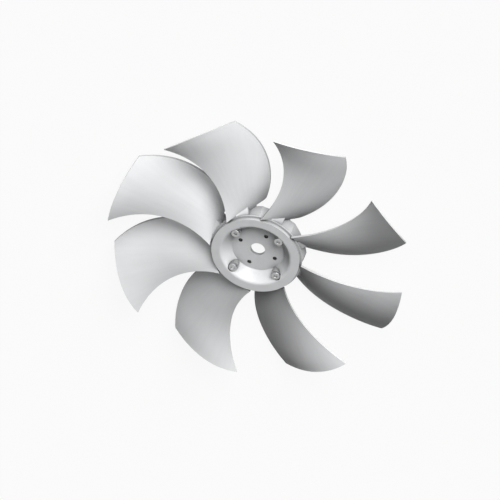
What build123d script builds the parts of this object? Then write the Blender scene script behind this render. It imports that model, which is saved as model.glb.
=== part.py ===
from build123d import *

import os
from math import atan, cos, radians, sin, sqrt

# Axial fan impeller, 450 mm across, with eight swept blades round an octagonal hub. Its front is +Z.
# The origin is on the shaft axis, in the rear face of the hub dish, where it meets the motor flange.
# The first blade stands on the +X axis.

# Wheel
blade_count = 8
tip_radius = 225.0
barrel_front_reach = 63.2   # the barrel is an octagon in front, from the axis to a flat
barrel_rear_radius = 71.0   # and its sides are bowed at the rear, which leaves its corners blunt
barrel_side_bow = 2.8
barrel_rear = -9.5
collar_face = 15.0          # front face of the wheel, the dish rests on it
collar_radius = 69.7
collar_thickness = 2.0
wheel_wall = 3.0
rib_thickness = 2.0
rib_count = 16
web_thickness = 3.0         # web behind the dish, with a raised pad for the motor flange
web_opening_diameter = 40.0
pad_diameter = 74.0
pad_height = 2.0

# Blades
leading_arc_centre = (99.3, 164.9)      # both edges are arcs, seen along the shaft
leading_arc_radius = 145.2
trailing_arc_centre = (148.8, 83.4)
trailing_arc_radius = 138.9
root_corner_radius = 6.0
root_relief = 1.3           # behind the barrel, the blade ends this far outside its sides
pitch_slope = 0.10          # tangent of the blade angle far out
pitch_lead = 50.0           # and what the helix adds, divided by the reach
station_reaches = (58.0, 80.0, 105.0, 130.0, 155.0, 180.0, 205.0, 228.0)
station_lifts = (-3.6, 0.6, 0.4, -1.4, -3.2, -3.9, -2.9, -0.9)    # chord height over the blade's own axis
station_cambers = (0.045, 0.06, 0.08, 0.09, 0.09, 0.09, 0.09, 0.09)    # arc height over its chord
root_thickness = 4.0
tip_thickness = 2.2
blank_margin = 6.0          # the blank stands past its edges, the outline trims it

# Gussets, one in front of each blade's root. Its sloping top passes through three corners, each given
# by how far out from the front of the flat it is, how far sideways, and how high.
gusset_corners = ((5.0, 7.7, 13.6), (3.2, -8.5, 7.0), (11.0, -5.6, 3.2))
gusset_sides = (-8.5, 9.0)
gusset_length = 14.0
gusset_foot_height = 3.0    # its underside lies within the blade: its height on the blade's axis
gusset_foot_slope = 0.65

# Dish
dish_wall = 3.0
floor_thickness = 5.0
floor_radius = 39.0
lip_radius = 52.5
lip_fillet = 6.0
rim_height = 21.0
rim_radius = 66.8
rim_shoulder = 5.6
bore_diameter = 22.0
flange_circle = 58.0
flange_hole = 6.6
flange_count = 4

# Clamp screws, M8 with low heads
screw_count = 4
screw_circle_radius = 46.1
screw_seat = 14.5
screw_boss_radius = 7.4
screw_diameter = 8.0
screw_hole = 9.0
head_diameter = 13.0
head_height = 5.0
socket_width = 5.0
socket_depth = 2.8
washer_diameter = 16.0
washer_bore = 8.4
washer_thickness = 1.6
nut_width = 13.0
nut_height = 6.8
nut_crown = 12.4            # the nut's rear corners are turned off down to this circle
nut_crown_angle = 60        # degrees from the nut's axis
thread_overrun = 4.1        # past the nut, which makes the screws 30 mm long
head_chamfer = 0.6
thread_chamfer = 0.8
thread_gap = 0.05

# Fits
nest_gap = 0.5              # between the dish and the wheel around it

os.makedirs("parts", exist_ok=True)

pitch_angle = 360 / blade_count
half_pitch = radians(pitch_angle / 2)
screw_angle = pitch_angle / 2           # the screws stand behind corners of the octagon
web_rear = -web_thickness
channel_top = collar_face - wheel_wall
barrel_side_reach = barrel_rear_radius * cos(half_pitch) + barrel_side_bow
blade_reach = station_reaches[-1]
cone_slope = (lip_radius - floor_radius) / (rim_height - floor_thickness)
cone_skew = sqrt(1 + cone_slope**2)     # a wall's width across, for each unit of its thickness
rim_under = rim_height - dish_wall


def leading_edge(reach):
    """Sideways place of the leading edge, at this distance out along the blade."""
    x, y = leading_arc_centre
    return y - sqrt(leading_arc_radius**2 - (reach - x) ** 2)


def trailing_edge(reach):
    x, y = trailing_arc_centre
    return y - sqrt(trailing_arc_radius**2 - (reach - x) ** 2)


def cone_radius(height, outset):
    """Radius of the dish's cone at a height, outset from its inner face."""
    return floor_radius + (height - floor_thickness) * cone_slope + outset * cone_skew


def blade_area(root_reach):
    """Closed edge of a blade seen along the shaft: two arcs, cut straight at the root and past the tip."""
    middle = (root_reach + blade_reach) / 2
    edge_places = (leading_edge, trailing_edge)
    root_ends, tip_ends = [], []
    for edge_place in edge_places:
        start = (root_reach, edge_place(root_reach))
        end = (blade_reach, edge_place(blade_reach))
        ThreePointArc(start, (middle, edge_place(middle)), end)
        root_ends.append(start)
        tip_ends.append(end)
    Line(*root_ends)
    Line(*tip_ends)


def barrel_blank(inset, top):
    """Octagon at the height of its top, with sides that bow out towards the rear, all set in by a wall."""
    sizes = ((barrel_rear, barrel_rear_radius - inset), (top, (barrel_front_reach - inset) / cos(half_pitch)))
    turns = [(number + 0.5) * pitch_angle for number in range(blade_count)]
    with BuildPart() as blank:
        for height, corner_radius in sizes:
            corners = [Vector(corner_radius, 0).rotate(Axis.Z, turn) for turn in turns]
            with BuildSketch(Plane.XY.offset(height)):
                with BuildLine():
                    for start, end in zip(corners, corners[1:] + corners[:1]):
                        if height == top:
                            Line(start, end)
                        else:
                            SagittaArc(start, end, -barrel_side_bow)
                make_face()
        loft(ruled=True)
    return blank.part


# Gusset in front of a blade's root: a block on the blade, cut off by its sloping top.
with BuildPart() as gusset:
    with BuildSketch(Plane(origin=(barrel_front_reach, 0, 0), x_dir=(0, 1, 0), z_dir=(1, 0, 0))):
        with BuildLine():
            foot = [(side, gusset_foot_height + gusset_foot_slope * side) for side in gusset_sides]
            Polyline(*foot, (gusset_sides[1], collar_face), (gusset_sides[0], collar_face), close=True)
        make_face()
    extrude(amount=gusset_length)
    corners = [Vector(barrel_front_reach + out, side, height) for out, side, height in gusset_corners]
    top_normal = (corners[1] - corners[0]).cross(corners[2] - corners[0])
    split(bisect_by=Plane(origin=corners[0], z_dir=top_normal), keep=Keep.BOTTOM)

# What the blade's outline keeps: above the barrel's rear edge it runs on into the barrel,
# and below that edge it stops short of the flat, in a rounded corner.
with BuildPart() as outline:
    with BuildSketch(Plane.XY.offset(barrel_rear)):
        with BuildLine():
            blade_area(station_reaches[0])
        make_face()
        Circle(tip_radius, mode=Mode.INTERSECT)
    extrude(amount=tip_radius)
    with BuildSketch(Plane.XY.offset(barrel_rear)) as lower:
        with BuildLine():
            blade_area(barrel_side_reach + root_relief)
        make_face()
        Circle(tip_radius, mode=Mode.INTERSECT)
        fillet(lower.vertices().group_by(Axis.X)[0].sort_by(Axis.Y)[0], root_corner_radius)
    extrude(amount=-tip_radius)

# One blade: cambered sections at stations along its axis, each turned to its own angle.
with BuildPart() as blade:
    for reach, lift, camber in zip(station_reaches, station_lifts, station_cambers):
        slope = pitch_slope + pitch_lead / reach
        pitch = atan(slope)
        front, rear = leading_edge(reach), trailing_edge(reach)
        chord = (front - rear) / cos(pitch)
        middle = (front + rear) / 2
        height = camber * chord
        arc_radius = (chord**2 / 4 + height**2) / (2 * height)
        half_angle = 2 * atan(2 * height / chord) + blank_margin / arc_radius
        share = (reach - station_reaches[0]) / (tip_radius - station_reaches[0])
        half_wall = (root_thickness + (tip_thickness - root_thickness) * share) / 2
        section_plane = Plane(
            origin=(reach, middle, lift + slope * middle),
            x_dir=(0, cos(pitch), sin(pitch)),
            z_dir=(1, 0, 0),
        )
        with BuildSketch(section_plane) as section:
            with BuildLine():
                drop = height - arc_radius
                ends = []
                for radius in (arc_radius + half_wall, arc_radius - half_wall):
                    across, up = radius * sin(half_angle), drop + radius * cos(half_angle)
                    ThreePointArc((-across, up), (0, drop + radius), (across, up))
                    ends.append((across, up))
                Line(*ends)
                Line(*[(-across, up) for across, up in ends])
            make_face()
    loft()
    add(outline.part, mode=Mode.INTERSECT)


# The wheel's own inside: what the dish's nest takes away, and what stands in the channel round it.
with BuildPart() as nest:
    nest_outset = dish_wall + nest_gap
    nest_top = collar_face + tip_radius     # clears the blades in front of the collar too
    with BuildSketch(Plane.XZ):
        with BuildLine():
            Polyline(
                (0, 0),
                (cone_radius(0, nest_outset), 0),
                (cone_radius(collar_face, nest_outset), collar_face),
                (collar_radius, collar_face),
                (collar_radius, nest_top),
                (0, nest_top),
                close=True,
            )
        make_face()
    revolve(axis=Axis.Z)
    with BuildSketch():
        with PolarLocations(screw_circle_radius, screw_count, start_angle=screw_angle):
            Circle(screw_boss_radius + dish_wall + nest_gap)
    extrude(amount=collar_face)

with BuildPart() as seats:
    shell_outset = dish_wall + nest_gap + wheel_wall
    with BuildSketch(Plane.XZ):
        with BuildLine():
            Polyline(
                (0, web_rear),
                (cone_radius(0, shell_outset), web_rear),
                (cone_radius(0, shell_outset), 0),
                (cone_radius(channel_top, shell_outset), channel_top),
                (0, channel_top),
                close=True,
            )
        make_face()
    revolve(axis=Axis.Z)
    with BuildSketch(Plane.XY.offset(web_rear)):
        with PolarLocations(screw_circle_radius, screw_count, start_angle=screw_angle):
            Circle(screw_boss_radius + dish_wall + nest_gap + wheel_wall)
    extrude(amount=channel_top - web_rear)
    with BuildSketch(Plane.XY.offset(web_rear)):
        with PolarLocations((floor_radius + barrel_rear_radius) / 2, rib_count):
            Rectangle(barrel_rear_radius - floor_radius, rib_thickness)
    extrude(amount=channel_top - web_rear)
    add(barrel_blank(wheel_wall / 2, collar_face), mode=Mode.INTERSECT)

# The blade wheel, one moulding: octagonal barrel with a round collar, blades, and a nest for the dish
# whose wall, seats and ribs stand in a channel that is open to the rear.
with BuildPart() as blade_wheel:
    add(barrel_blank(0, collar_face))
    with BuildSketch(Plane.XY.offset(collar_face - collar_thickness)):
        Circle(collar_radius)
    extrude(amount=collar_thickness)
    with PolarLocations(0, blade_count):
        add(blade.part)
        add(gusset.part)
    add(barrel_blank(wheel_wall, channel_top), mode=Mode.SUBTRACT)
    add(seats.part)
    with BuildSketch(Plane.XY.offset(web_rear)):
        Circle(pad_diameter / 2)
    extrude(amount=-pad_height)
    add(nest.part, mode=Mode.SUBTRACT)
    with Locations((0, 0, 0)):
        Hole(web_opening_diameter / 2)
    with PolarLocations(screw_circle_radius, screw_count, start_angle=screw_angle):
        Hole(screw_hole / 2)
    with PolarLocations(flange_circle / 2, flange_count, start_angle=pitch_angle):
        Hole(flange_hole / 2)
blade_wheel.part.label = "blade_wheel"
export_step(blade_wheel.part, "parts/blade_wheel.step")

# The dish: floor, conical wall and rim turned in one, with four flat seats for the screws.
with BuildPart() as behind_skin:
    with BuildSketch(Plane.XZ):
        with BuildLine():
            Polyline(
                (cone_radius(0, 0), 0),
                (rim_radius - dish_wall, 0),
                (rim_radius - dish_wall, rim_under),
                (cone_radius(rim_under, 0), rim_under),
                close=True,
            )
        make_face()
    revolve(axis=Axis.Z)
    with BuildSketch():
        with PolarLocations(screw_circle_radius, screw_count, start_angle=screw_angle):
            Circle(screw_boss_radius + dish_wall)
    extrude(amount=rim_height, mode=Mode.INTERSECT)

with BuildPart() as hub_dish:
    with BuildSketch(Plane.XZ) as dish_section:
        with BuildLine():
            Polyline(
                (bore_diameter / 2, 0),
                (bore_diameter / 2, floor_thickness),
                (floor_radius, floor_thickness),
                (lip_radius, rim_height),
                (rim_radius, rim_height),
                (rim_radius, collar_face),
                (rim_radius - dish_wall, collar_face),
                (rim_radius - dish_wall, rim_under),
                (cone_radius(rim_under, dish_wall), rim_under),
                (cone_radius(0, dish_wall), 0),
                close=True,
            )
        make_face()
        under_corners = dish_section.vertices().group_by(Axis.Y)[-2].sort_by(Axis.X)
        fillet(under_corners[0], lip_fillet - dish_wall)
        fillet(under_corners[-1], rim_shoulder - dish_wall)
        top_corners = dish_section.vertices().group_by(Axis.Y)[-1].sort_by(Axis.X)
        fillet(top_corners[0], lip_fillet)
        fillet(top_corners[-1], rim_shoulder)
    revolve(axis=Axis.Z)
    add(behind_skin.part)
    with BuildSketch():
        with PolarLocations(screw_circle_radius, screw_count, start_angle=screw_angle):
            Circle(screw_boss_radius)
    extrude(amount=screw_seat)
    with BuildSketch(Plane.XY.offset(screw_seat)):
        with PolarLocations(screw_circle_radius, screw_count, start_angle=screw_angle):
            Circle(screw_boss_radius)
    extrude(amount=rim_height, mode=Mode.SUBTRACT)
    with PolarLocations(screw_circle_radius, screw_count, start_angle=screw_angle):
        Hole(screw_hole / 2)
    with PolarLocations(flange_circle / 2, flange_count, start_angle=pitch_angle):
        Hole(flange_hole / 2)
hub_dish.part.label = "hub_dish"
export_step(hub_dish.part, "parts/hub_dish.step")

# Fasteners, one set for each seat, all along the shaft's direction.
nut_face = web_rear - washer_thickness
screw_length = screw_seat - nut_face + nut_height + thread_overrun
for number in range(screw_count):
    angle = radians(screw_angle + number * 360 / screw_count)
    x, y = screw_circle_radius * cos(angle), screw_circle_radius * sin(angle)

    seat_plane = Plane((x, y, screw_seat))
    with BuildPart() as screw:
        with BuildSketch(seat_plane):
            Circle(head_diameter / 2)
        extrude(amount=head_height)
        chamfer(screw.edges().group_by(Axis.Z)[-1], head_chamfer)
        with BuildSketch(seat_plane.offset(head_height)):
            RegularPolygon(socket_width / 2, 6, major_radius=False)
        extrude(amount=-socket_depth, mode=Mode.SUBTRACT)
        with BuildSketch(seat_plane):
            Circle(screw_diameter / 2)
        extrude(amount=-screw_length)
        chamfer(screw.edges().group_by(Axis.Z)[0], thread_chamfer)
    screw.part.label = f"screw_{number + 1}"
    export_step(screw.part, f"parts/{screw.part.label}.step")

    with BuildPart() as washer:
        with BuildSketch(Plane((x, y, nut_face))):
            Circle(washer_diameter / 2)
            Circle(washer_bore / 2, mode=Mode.SUBTRACT)
        extrude(amount=washer_thickness)
    washer.part.label = f"washer_{number + 1}"
    export_step(washer.part, f"parts/{washer.part.label}.step")

    nut_plane = Plane((x, y, nut_face - nut_height))
    with BuildPart() as nut:
        with BuildSketch(nut_plane):
            RegularPolygon(nut_width / 2, 6, major_radius=False)
        extrude(amount=nut_height)
        with BuildSketch(nut_plane):
            Circle(nut_crown / 2)
        extrude(amount=nut_height, taper=-nut_crown_angle, mode=Mode.INTERSECT)
        with Locations(nut_plane):
            Hole(screw_diameter / 2 + thread_gap)
    nut.part.label = f"nut_{number + 1}"
    export_step(nut.part, f"parts/{nut.part.label}.step")
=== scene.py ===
import math

import bpy
from mathutils import Matrix, Vector


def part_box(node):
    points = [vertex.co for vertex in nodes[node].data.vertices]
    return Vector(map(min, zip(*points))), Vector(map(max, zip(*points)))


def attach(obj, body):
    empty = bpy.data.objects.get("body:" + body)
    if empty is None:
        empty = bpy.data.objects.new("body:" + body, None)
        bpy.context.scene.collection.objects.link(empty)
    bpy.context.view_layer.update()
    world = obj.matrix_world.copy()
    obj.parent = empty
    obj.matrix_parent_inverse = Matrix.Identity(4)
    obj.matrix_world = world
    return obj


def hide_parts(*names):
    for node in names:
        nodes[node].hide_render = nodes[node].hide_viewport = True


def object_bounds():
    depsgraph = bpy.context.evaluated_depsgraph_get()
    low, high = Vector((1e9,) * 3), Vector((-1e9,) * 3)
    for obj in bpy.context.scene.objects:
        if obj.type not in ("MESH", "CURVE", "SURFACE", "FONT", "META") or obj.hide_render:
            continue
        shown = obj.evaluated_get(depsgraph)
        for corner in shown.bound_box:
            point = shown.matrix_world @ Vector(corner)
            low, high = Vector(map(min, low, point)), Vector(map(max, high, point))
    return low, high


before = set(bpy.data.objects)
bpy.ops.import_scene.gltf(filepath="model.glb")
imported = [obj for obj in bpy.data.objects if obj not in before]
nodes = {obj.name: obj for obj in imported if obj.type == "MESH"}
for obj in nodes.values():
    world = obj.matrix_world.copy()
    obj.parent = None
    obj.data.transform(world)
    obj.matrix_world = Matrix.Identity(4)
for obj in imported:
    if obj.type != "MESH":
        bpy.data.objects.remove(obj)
cadLow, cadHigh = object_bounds()
print("frame loaded:", len(nodes), "nodes")

mm = 0.001
touch = 0.01      # mm, heights closer than this count as the same, and flush cutters overlap by it
reach = 1.0       # mm, how far a through cutter stands out of what it opens
roundSteps = 3    # the steps of a rounded edge


def toLinear(hexColour):
    values = [int(hexColour[i:i + 2], 16) / 255 for i in (1, 3, 5)]
    linear = [v / 12.92 if v <= 0.04045 else ((v + 0.055) / 1.055) ** 2.4 for v in values]
    return linear + [1.0]


# inputs maps a socket's name or number to a value, or to the socket that feeds it.
def addNode(tree, kind, inputs=None, **settings):
    node = tree.nodes.new(kind)
    for name, value in settings.items():
        setattr(node, name, value)
    for name, value in (inputs or {}).items():
        if isinstance(value, bpy.types.NodeSocket):
            tree.links.new(value, node.inputs[name])
        else:
            node.inputs[name].default_value = value
    return node


def addMath(tree, operation, first, second):
    return addNode(tree, "ShaderNodeMath", {0: first, 1: second}, operation=operation).outputs[0]


def addRange(tree, value, fromRange=(0.0, 1.0), toRange=(0.0, 1.0)):
    mapped = addNode(tree, "ShaderNodeMapRange", {
        "Value": value, "From Min": fromRange[0], "From Max": fromRange[1],
        "To Min": toRange[0], "To Max": toRange[1]})
    return mapped.outputs[0]


def addMixedColour(tree, factor, first, second):
    mix = addNode(tree, "ShaderNodeMix", {"Factor": factor, 6: first, 7: second}, data_type="RGBA")
    return mix.outputs[2]


def newMaterial(name):
    material = bpy.data.materials.new(name)
    material.use_nodes = True
    material.node_tree.nodes.clear()
    return material, material.node_tree


# 1 where a surface is looked at directly, in a gloss or through something clear, and otherwise 0.
def addSeen(tree):
    path = addNode(tree, "ShaderNodeLightPath").outputs
    seen = addMath(tree, "MAXIMUM", path["Is Camera Ray"], path["Is Glossy Ray"])
    return addMath(tree, "MAXIMUM", seen, path["Is Transmission Ray"])


camera = {
    "right": (0.97351, 0.0, -0.22866),     # the view's axes, in the wheel's frame before its turn
    "up": (-0.14289, 0.78074, -0.60835),
    "back": (0.17852, 0.62490, 0.76006),
    "wheelTurn": -18.8,                    # degrees about the shaft
    "mmPerPixel": 225 / 152.139,           # the tip radius, in mm and in pixels
    "viewSize": 500,                       # pixels
    "axisPixel": (257.641, 249.235),       # where the wheel's middle stands in the view
    "middleHeight": 5.25,                  # mm, that middle above the frame's origin
    "distance": 2.0,                       # metres
}
wheelTurn = Matrix.Rotation(math.radians(camera["wheelTurn"]), 3, "Z")


def setCamera(settings):
    right, up, back = [wheelTurn @ Vector(settings[name]) for name in ("right", "up", "back")]
    pixel = settings["mmPerPixel"] * mm
    half = settings["viewSize"] / 2
    across, down = settings["axisPixel"]
    spot = right * (half - across) * pixel + up * (down - half) * pixel
    spot += back * settings["distance"]
    spot.z += settings["middleHeight"] * mm
    lens = bpy.data.cameras.new("camera")
    lens.type = "ORTHO"
    lens.ortho_scale = settings["viewSize"] * pixel
    view = bpy.data.objects.new("camera", lens)
    bpy.context.scene.collection.objects.link(view)
    matrix = Matrix((right, up, back)).transposed().to_4x4()
    matrix.translation = spot
    view.matrix_world = matrix
    bpy.context.scene.camera = view


setCamera(camera)
bpy.context.scene.view_settings.view_transform = "Standard"
print("camera set")

studio = {
    "lightFrom": (0.35, 0.82, 0.44),       # where the light comes from, before the wheel's turn
    "lamps": {                             # strength, width in degrees, whether it casts shadows
        "softBox": (3.8, 35, True),
        "frontLamp": (1.4, 10, False),
    },
    "fillStrength": 0.02,
    "backdropStrength": 0.96,              # as light as the floor looks, so that no horizon shows
}


def setLight(settings):
    aim = (wheelTurn @ Vector(settings["lightFrom"])).to_track_quat("Z", "Y").to_euler()
    for name, (strength, width, castsShadow) in settings["lamps"].items():
        sun = bpy.data.lights.new(name, "SUN")
        sun.energy = strength
        sun.angle = math.radians(width)
        sun.use_shadow = castsShadow
        lamp = bpy.data.objects.new(name, sun)
        bpy.context.scene.collection.objects.link(lamp)
        lamp.rotation_euler = aim

    world = bpy.data.worlds.new("studioWorld")
    world.use_nodes = True
    tree = world.node_tree
    tree.nodes.clear()
    levels = (settings["fillStrength"], settings["backdropStrength"])
    level = addRange(tree, addSeen(tree), toRange=levels)
    white = addNode(tree, "ShaderNodeBackground", {"Color": (1, 1, 1, 1), "Strength": level})
    addNode(tree, "ShaderNodeOutputWorld", {"Surface": white.outputs[0]})
    bpy.context.scene.world = world


setLight(studio)
print("light set")

floorSet = {
    "size": 9.0,                           # metres
    "gapMm": 0.2,                          # under the blades, so that nothing flickers
    "colour": "#D8D8D8",
    "whiteShare": 0.92,                    # of the floor's look, the rest takes the shadow
}


def layFloor(settings):
    bpy.ops.object.select_all(action="DESELECT")
    height = cadLow.z - settings["gapMm"] * mm
    bpy.ops.mesh.primitive_plane_add(size=settings["size"], location=(0, 0, height))
    floor = bpy.context.object
    floor.name = "floor"
    material, tree = newMaterial("palePaperFloor")
    share = addMath(tree, "MULTIPLY", addSeen(tree), settings["whiteShare"])
    paper = addNode(tree, "ShaderNodeBsdfDiffuse", {"Color": toLinear(settings["colour"])})
    glow = addNode(tree, "ShaderNodeEmission", {"Color": (1, 1, 1, 1), "Strength": 1.0})
    both = addNode(tree, "ShaderNodeMixShader", {
        0: share, 1: paper.outputs[0], 2: glow.outputs[0]})
    # From below the floor is clear, so that the rear can be seen.
    side = addNode(tree, "ShaderNodeNewGeometry").outputs["Backfacing"]
    clear = addNode(tree, "ShaderNodeBsdfTransparent")
    oneSided = addNode(tree, "ShaderNodeMixShader", {
        0: side, 1: both.outputs[0], 2: clear.outputs[0]})
    addNode(tree, "ShaderNodeOutputMaterial", {"Surface": oneSided.outputs[0]})
    floor.data.materials.append(material)


layFloor(floorSet)
print("floor laid")


def patternScale(sizeMm):  # for features of this size, on coordinates in metres
    return 1 / (sizeMm * mm)


def addClouds(tree, place, settings):
    clouds = addNode(tree, "ShaderNodeTexNoise", {
        "Vector": place, "Scale": patternScale(settings["cloudMm"]),
        "Detail": settings["cloudDetail"]})
    return clouds.outputs["Fac"]


# Clouds, and streaks that run outwards from the shaft. Their noise is read on the wall of a tube:
# round it goes the angle about the shaft, and along it the distance from the shaft.
def addStreaks(tree, place, settings):
    flat = addNode(tree, "ShaderNodeVectorMath", {0: place, 1: (1, 1, 0)}, operation="MULTIPLY")
    flat = flat.outputs[0]
    distance = addNode(tree, "ShaderNodeVectorMath", {0: flat}, operation="LENGTH")
    outwards = addMath(tree, "MULTIPLY", distance.outputs["Value"],
                       patternScale(settings["streakLengthMm"]))
    outwards = addNode(tree, "ShaderNodeCombineXYZ", {"Z": outwards})
    around = addNode(tree, "ShaderNodeVectorMath", {0: flat}, operation="NORMALIZE")
    tubeRadius = settings["streakReachMm"] / settings["streakWidthMm"]
    around = addNode(tree, "ShaderNodeVectorMath", {0: around.outputs[0], "Scale": tubeRadius},
                     operation="SCALE")
    flow = addNode(tree, "ShaderNodeVectorMath", {0: around.outputs[0], 1: outwards.outputs[0]},
                   operation="ADD")
    streaks = addNode(tree, "ShaderNodeTexNoise", {
        "Vector": flow.outputs[0], "Scale": 1.0, "Detail": 3.0})
    return addMath(tree, "ADD", streaks.outputs["Fac"], addClouds(tree, place, settings))


# Painted shade: corners, where the surface faces itself, are painted darker in the colour,
# standing in for the shade that falls there.
def paintCornerShade(tree, colour, settings):
    openness = addNode(tree, "ShaderNodeAmbientOcclusion",
                       {"Distance": settings["cornerShadeMm"] * mm}, samples=8)
    # painted shade: the share of the colour left unshaded, from how open the surface is
    unshaded = addRange(tree, openness.outputs["AO"], settings["cornerShadeRange"])
    return addMixedColour(tree, unshaded, toLinear(settings["corner"]), colour)


def makeFinish(name, settings, addPattern):
    material, tree = newMaterial(name)
    place = addNode(tree, "ShaderNodeTexCoord").outputs["Object"]
    tone = addRange(tree, addPattern(tree, place, settings), settings["patternRange"])
    first, second = [toLinear(colour) for colour in settings["tones"]]
    colour = addMixedColour(tree, tone, first, second)
    # painted shade in the corners, for the finishes that give a corner colour
    if "corner" in settings:
        colour = paintCornerShade(tree, colour, settings)
    grain = addNode(tree, "ShaderNodeTexNoise", {
        "Vector": place, "Scale": patternScale(settings["grainMm"]),
        "Detail": settings["grainDetail"]})
    relief = addNode(tree, "ShaderNodeBump", {
        "Height": grain.outputs["Fac"], "Strength": 1.0,
        "Distance": settings["grainDepthMm"] * mm})
    surface = addNode(tree, "ShaderNodeBsdfPrincipled", {
        "Base Color": colour, "Roughness": addRange(tree, tone, toRange=settings["roughness"]),
        "Normal": relief.outputs[0], **settings["shader"]})
    addNode(tree, "ShaderNodeOutputMaterial", {"Surface": surface.outputs[0]})
    return material


# Glass-filled polypropylene, injection moulded and pigmented silver grey: satin, with faint
# streaks where the melt ran outwards from the hub, and the fine grain of an eroded mould.
bladePlastic = {
    "tones": ("#CACBCC", "#CFD0D1"),
    "roughness": (0.58, 0.50),             # of the first and the second tone
    "patternRange": (0.7, 1.3),
    "streakWidthMm": 4.0,                  # across, at the streak's reach
    "streakLengthMm": 70.0,
    "streakReachMm": 140.0,
    "cloudMm": 45.0,
    "cloudDetail": 2.0,
    # painted shade: the dark colour that corners are painted towards, its reach and its range
    "corner": "#5A5B5C",
    "cornerShadeMm": 45.0,
    "cornerShadeRange": (0.3, 0.95),
    "grainMm": 1.6,                        # real grain is near 0.3 mm, drawn coarser to be seen
    "grainDetail": 2.0,
    "grainDepthMm": 0.02,
    "shader": {"Specular IOR Level": 0.2, "IOR": 1.49},
}
mouldedPlastic = makeFinish("mouldedPolypropylene", bladePlastic, addStreaks)

# Die-cast aluminium under a light grey powder coat: a soft gloss broken by fine orange peel.
castCoat = {
    "tones": ("#CBCCCD", "#D0D1D2"),
    "roughness": (0.50, 0.42),
    "patternRange": (0.35, 0.65),
    "cloudMm": 20.0,
    "cloudDetail": 3.0,
    # painted shade: the dark colour that corners are painted towards, its reach and its range
    "corner": "#202122",
    "cornerShadeMm": 60.0,
    "cornerShadeRange": (0.3, 0.9),
    "grainMm": 2.2,                        # real orange peel is near 1 mm, drawn coarser too
    "grainDetail": 1.0,
    "grainDepthMm": 0.03,
    "shader": {"Specular IOR Level": 0.25, "IOR": 1.5},
}
coatedCasting = makeFinish("powderCoatedCasting", castCoat, addClouds)

# Zinc-plated steel: a bright, slightly cloudy metal, bluer and yellower from place to place,
# with fine scratches.
zincSteel = {
    "tones": ("#A6A9AC", "#ADACA9"),
    "roughness": (0.38, 0.50),
    "patternRange": (0.35, 0.65),
    "cloudMm": 5.0,
    "cloudDetail": 3.0,
    "grainMm": 0.7,
    "grainDetail": 2.0,
    "grainDepthMm": 0.008,
    "shader": {"Metallic": 1.0},
}
platedSteel = makeFinish("zincPlatedSteel", zincSteel, addClouds)

finishes = {"blade_wheel": mouldedPlastic, "hub_dish": coatedCasting}
for nodeName, node in nodes.items():
    node.data.materials.clear()
    node.data.materials.append(finishes.get(nodeName, platedSteel))
print("materials made")


# Each fastener is modelled once on the shaft's line, with its seat at height 0, and then copied
# to its places. All their sizes are in mm.

def onlyOne(piece):
    bpy.ops.object.select_all(action="DESELECT")
    piece.select_set(True)
    bpy.context.view_layer.objects.active = piece


# Picks faces, edges or vertices by their place, and stays in edit mode.
def selectWhere(piece, kind, isWanted):
    modes = {"polygons": "FACE", "edges": "EDGE", "vertices": "VERT"}
    onlyOne(piece)
    bpy.ops.object.mode_set(mode="EDIT")
    bpy.ops.mesh.select_all(action="DESELECT")
    bpy.ops.mesh.select_mode(type=modes[kind])
    bpy.ops.object.mode_set(mode="OBJECT")
    for part in getattr(piece.data, kind):
        part.select = isWanted(part)
    bpy.ops.object.mode_set(mode="EDIT")


def extrudeDown(length):
    drop = (0, 0, -length * mm)
    bpy.ops.mesh.extrude_region_move(TRANSFORM_OT_translate={"value": drop})


def resizeAcross(share):
    bpy.ops.transform.resize(value=(share, share, 1))


def addRound(name, radius, height, base, edges, topRadius=None):
    bpy.ops.object.select_all(action="DESELECT")
    bpy.ops.mesh.primitive_cone_add(
        vertices=edges, depth=height * mm, radius1=radius * mm,
        radius2=(radius if topRadius is None else topRadius) * mm,
        location=(0, 0, (base + height / 2) * mm))
    piece = bpy.context.object
    piece.name = name
    bpy.ops.object.transform_apply(location=True, rotation=True, scale=True)
    return piece


def addUprightSquare():
    bpy.ops.object.select_all(action="DESELECT")
    bpy.ops.mesh.primitive_plane_add(size=1, rotation=(math.pi / 2, 0, 0))
    bpy.ops.object.transform_apply(location=True, rotation=True, scale=True)
    return bpy.context.object


def cutWith(piece, tool, operation="DIFFERENCE"):
    onlyOne(piece)
    cut = piece.modifiers.new("cut", "BOOLEAN")
    cut.operation = operation
    cut.solver = "EXACT"
    cut.object = tool
    bpy.ops.object.modifier_apply(modifier=cut.name)
    bpy.data.objects.remove(tool)


def joinAll(pieces):
    onlyOne(pieces[0])
    for piece in pieces:
        piece.select_set(True)
    bpy.ops.object.join()
    return pieces[0]


def hexCorner(width):  # the radius of a hexagon's corners, from its width across the flats
    return width / 2 / math.cos(math.radians(30))


screwSet = {
    "headRadius": 6.5,
    "headHeight": 5.0,
    "headChamfer": 0.6,
    "headEdges": 72,
    "socketWidth": 5.0,
    "socketDepth": 2.8,
    "drillShare": 0.98,                    # the drilled cone under the socket, against its width
    "drillDepth": 0.9,
    "drillEdges": 36,
    "mouthDepth": 0.45,                    # the socket's countersink
    "mouthEdges": 48,
    "shankRadius": 3.97,
    "plainLength": 8.0,
    "length": 30.0,
    "rootRadius": 3.4,
    "pitch": 1.25,
    "crestWidth": 0.2,
    "footWidth": 1.15,
    "footSink": 0.15,                      # how deep the thread's ridge stands in the core
    "turnSteps": 36,
    "pointChamfer": 0.9,
    "pointSlope": 0.6,
    "pointShare": 0.5,                     # how far up the point's chamfer the thread begins
    "turns": (14, -37, 52, 5),             # degrees, how each one happened to be tightened
}


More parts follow.
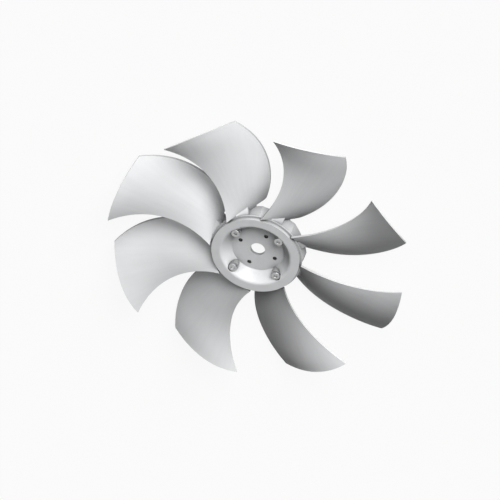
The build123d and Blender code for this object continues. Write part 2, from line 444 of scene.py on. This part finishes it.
def modelScrewHead(sizes):
    height = sizes["headHeight"]
    head = addRound("screwHead", sizes["headRadius"], height, 0, sizes["headEdges"])
    selectWhere(head, "polygons", lambda face: face.center.z > (height - touch) * mm)
    bpy.ops.mesh.bevel(offset=sizes["headChamfer"] * mm, segments=roundSteps, affect="EDGES")
    bpy.ops.object.mode_set(mode="OBJECT")

    corner = hexCorner(sizes["socketWidth"])
    socketFloor = height - sizes["socketDepth"]
    cutWith(head, addRound("socket", corner, sizes["socketDepth"] + reach, socketFloor, 6))
    drillRadius = sizes["socketWidth"] / 2 * sizes["drillShare"]
    cutWith(head, addRound("drill", 0, sizes["drillDepth"] + touch,
                           socketFloor - sizes["drillDepth"], sizes["drillEdges"],
                           topRadius=drillRadius))
    mouth = sizes["mouthDepth"]
    cutWith(head, addRound("mouth", corner - mouth, mouth * 2, height - mouth,
                           sizes["mouthEdges"], topRadius=corner + mouth))
    return head


# The plain shank, its run-out to the thread's root, the threaded core and the chamfered point.
def modelShank(sizes, runOut, threaded):
    root, plain = sizes["rootRadius"], sizes["plainLength"]
    shank = addRound("screwShank", sizes["shankRadius"], plain, -plain, sizes["turnSteps"])
    selectWhere(shank, "polygons", lambda face: face.center.z < (touch - plain) * mm)
    extrudeDown(runOut)
    resizeAcross(root / sizes["shankRadius"])
    extrudeDown(threaded)
    extrudeDown(sizes["pointChamfer"])
    resizeAcross((root - sizes["pointChamfer"] * sizes["pointSlope"]) / root)
    bpy.ops.object.mode_set(mode="OBJECT")
    return shank


# The thread's ridge: a small trapezium, wound round and up the core, and closed at both ends.
def modelRidge(sizes, threaded):
    ridge = addUprightSquare()
    lowest = sizes["pointChamfer"] * sizes["pointShare"] + sizes["footWidth"] / 2 - sizes["length"]
    for corner in ridge.data.vertices:
        isCrest = corner.co.x > 0
        width = sizes["crestWidth"] if isCrest else sizes["footWidth"]
        radius = sizes["shankRadius"] if isCrest else sizes["rootRadius"] - sizes["footSink"]
        corner.co.x = radius * mm
        corner.co.z = (math.copysign(width / 2, corner.co.z) + lowest) * mm
    selectWhere(ridge, "polygons", lambda face: True)
    bpy.ops.mesh.delete(type="ONLY_FACE")
    bpy.ops.object.mode_set(mode="OBJECT")

    wind = ridge.modifiers.new("wind", "SCREW")
    wind.axis = "Z"
    wind.angle = math.tau
    wind.screw_offset = sizes["pitch"] * mm
    wind.iterations = int((threaded - sizes["footWidth"]) / sizes["pitch"])
    wind.steps = wind.render_steps = sizes["turnSteps"]
    wind.use_smooth_shade = False
    bpy.ops.object.modifier_apply(modifier=wind.name)

    selectWhere(ridge, "edges", lambda edge: False)  # none, before the two open ends are picked
    bpy.ops.mesh.select_non_manifold()
    bpy.ops.mesh.edge_face_add()
    bpy.ops.mesh.select_all(action="SELECT")
    bpy.ops.mesh.normals_make_consistent(inside=False)
    bpy.ops.object.mode_set(mode="OBJECT")
    return ridge


def modelScrew(sizes):
    runOut = sizes["shankRadius"] - sizes["rootRadius"]
    threaded = sizes["length"] - sizes["plainLength"] - runOut - sizes["pointChamfer"]
    return joinAll([modelScrewHead(sizes), modelShank(sizes, runOut, threaded),
                    modelRidge(sizes, threaded)])


washerSet = {
    "innerRadius": 4.2,
    "outerRadius": 8.0,
    "thickness": 1.6,
    "edgeRound": 0.35,
    "steps": 72,
    "turns": (0, 0, 0, 0),
}


def modelWasher(sizes):
    inner, outer, thickness = sizes["innerRadius"], sizes["outerRadius"], sizes["thickness"]
    washer = addUprightSquare()
    washer.scale = ((outer - inner) * mm, 1, thickness * mm)
    washer.location = ((outer + inner) / 2 * mm, 0, -thickness / 2 * mm)
    bpy.ops.object.transform_apply(location=True, rotation=True, scale=True)
    selectWhere(washer, "vertices", lambda corner: corner.co.x > inner * mm)
    bpy.ops.mesh.bevel(offset=sizes["edgeRound"] * mm, segments=roundSteps, affect="VERTICES")
    bpy.ops.mesh.select_all(action="SELECT")
    bpy.ops.mesh.delete(type="ONLY_FACE")
    bpy.ops.mesh.select_all(action="SELECT")
    bpy.ops.mesh.spin(steps=sizes["steps"], angle=math.tau, center=(0, 0, 0), axis=(0, 0, 1))
    bpy.ops.mesh.select_all(action="SELECT")
    bpy.ops.mesh.remove_doubles(threshold=touch * mm)
    bpy.ops.mesh.normals_make_consistent(inside=False)
    bpy.ops.object.mode_set(mode="OBJECT")
    return washer


nutSet = {
    "width": 13.0,
    "height": 6.8,
    "crownRadius": 6.2,
    "crownAngle": 30,
    "topShare": 0.4,                       # the crown at the washer, against the rear one
    "bore": 4.05,
    "mouthRadius": 4.5,
    "edges": 72,
    "turns": (9, 31, -16, 48),
}


def modelNut(sizes):
    height, bore, edges = sizes["height"], sizes["bore"], sizes["edges"]
    corner = hexCorner(sizes["width"])
    nut = addRound("nut", corner, height, -height, 6)

    # What the hexagon is cut down to: a round bar as wide as its corners, sloped at both ends.
    slope = math.tan(math.radians(sizes["crownAngle"]))
    crownHeight = (corner - sizes["crownRadius"]) * slope
    topHeight = crownHeight * sizes["topShare"]
    crown = addRound("crown", sizes["crownRadius"], crownHeight, -height, edges, topRadius=corner)
    selectWhere(crown, "polygons",
                lambda face: face.center.z > (crownHeight - height - touch) * mm)
    extrudeDown(crownHeight + topHeight - height)
    extrudeDown(-topHeight)
    resizeAcross((corner - topHeight) / corner)
    bpy.ops.object.mode_set(mode="OBJECT")
    cutWith(nut, crown, "INTERSECT")

    cutWith(nut, addRound("bore", bore, height + reach * 2, -height - reach, edges))
    wide = sizes["mouthRadius"]
    mouth = wide - bore
    for base, low, high in ((-height - touch, wide, bore), (touch - mouth, bore, wide)):
        cutWith(nut, addRound("mouth", low, mouth, base, edges, topRadius=high))
    return nut


smoothAngle = 28                           # degrees, flatter edges than this are shaded smooth


def placeCopies(model, name, sizes, middles, seatHeight, replaced):
    onlyOne(model)
    bpy.ops.object.shade_smooth_by_angle(angle=math.radians(smoothAngle))
    for number, (middle, turn) in enumerate(zip(middles, sizes["turns"]), start=1):
        copy = bpy.data.objects.new(f"{name}{number}", model.data.copy())
        bpy.context.scene.collection.objects.link(copy)
        spot = Matrix.Translation((middle.x, middle.y, seatHeight))
        copy.data.transform(spot @ Matrix.Rotation(math.radians(turn), 4, "Z"))
        copy.data.materials.clear()
        copy.data.materials.append(platedSteel)
        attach(copy, "root")
        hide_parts(f"{replaced}_{number}")
    bpy.data.objects.remove(model)


screwBoxes = [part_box(f"screw_{number}") for number in (1, 2, 3, 4)]
middles = [(low + high) / 2 for low, high in screwBoxes]
headSeat = screwBoxes[0][1].z - screwSet["headHeight"] * mm
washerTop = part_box("washer_1")[1].z
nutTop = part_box("nut_1")[1].z
placeCopies(modelScrew(screwSet), "socketScrew", screwSet, middles, headSeat, "screw")
placeCopies(modelWasher(washerSet), "flatWasher", washerSet, middles, washerTop, "washer")
placeCopies(modelNut(nutSet), "hexNut", nutSet, middles, nutTop, "nut")
print("fasteners modelled")
